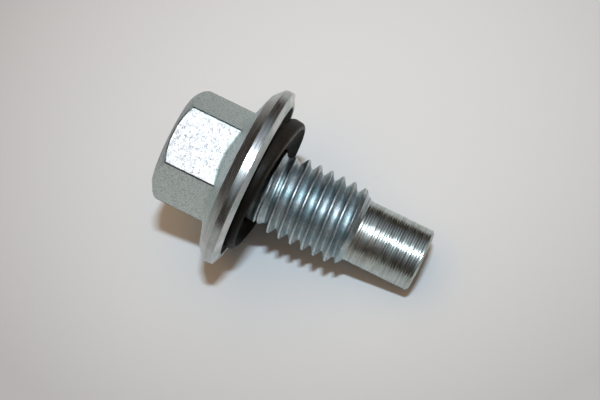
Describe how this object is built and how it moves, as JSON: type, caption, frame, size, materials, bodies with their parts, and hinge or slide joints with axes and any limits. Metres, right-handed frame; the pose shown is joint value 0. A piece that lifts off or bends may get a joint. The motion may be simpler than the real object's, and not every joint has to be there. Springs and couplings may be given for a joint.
{
  "type": "oil drain plug",
  "caption": "Hexagon flange-head drain plug with a right-hand metric thread, a plain pilot and a captive rubber seal ring under the flange.",
  "frame": {"origin": "centre of the flat top of the hexagon head, on which the plug stands", "axes": "+Z along the plug's axis from the head to the pilot; -Y is the outward direction of one flat of the hexagon"},
  "size_m": [0.0261, 0.026, 0.0378],
  "materials": {
    "zinc_plated_steel": "forged and turned steel with a thin clear-blue zinc plating",
    "seal_rubber": "moulded black nitrile rubber, satin"
  },
  "bodies": {
    "root": {"plug": "zinc_plated_steel", "seal_ring": "seal_rubber"}
  },
  "joints": []
}
